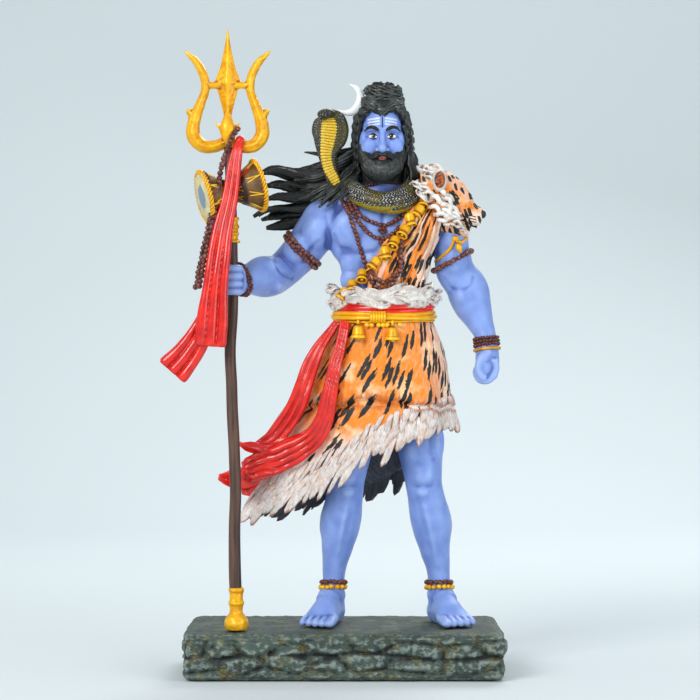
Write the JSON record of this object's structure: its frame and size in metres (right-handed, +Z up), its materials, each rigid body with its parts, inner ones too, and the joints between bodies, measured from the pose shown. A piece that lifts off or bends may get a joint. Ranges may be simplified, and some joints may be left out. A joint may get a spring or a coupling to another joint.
{
  "type": "shiva figure",
  "caption": "Painted resin figure of Shiva standing on a slab of rock, one fist round a tall trident staff with an hourglass drum and a red scarf.",
  "frame": {"origin": "middle of the flat underside of the slab of rock", "axes": "+Z up, the figure faces -Y, +X towards the figure's own left hand"},
  "size_m": [0.1721, 0.0903, 0.3258],
  "materials": {
    "plinth_rock": "resin cast as broken rock, dark green grey with pale and ochre dry brushing",
    "skin_blue": "satin periwinkle blue paint on smooth resin",
    "gold_paint": "gold paint with brown wash in the hollows",
    "hair_black": "black paint with grey dry brushing on the carved strands",
    "tiger_pelt": "orange and cream paint with short black stripes over carved fur",
    "white_fur": "white paint with grey wash in carved curls",
    "red_cloth": "glossy red paint on carved folds",
    "brown_beads": "dark red brown paint on rough round beads",
    "snake_scales": "dark olive paint with pale scales and a banded yellow belly",
    "staff_wood": "dark brown paint on a slightly crooked shaft",
    "moon_white": "satin white paint"
  },
  "bodies": {
    "root": {"rock_plinth": "plinth_rock", "shiva_figure": "skin_blue", "trident_staff": "gold_paint"}
  },
  "joints": []
}
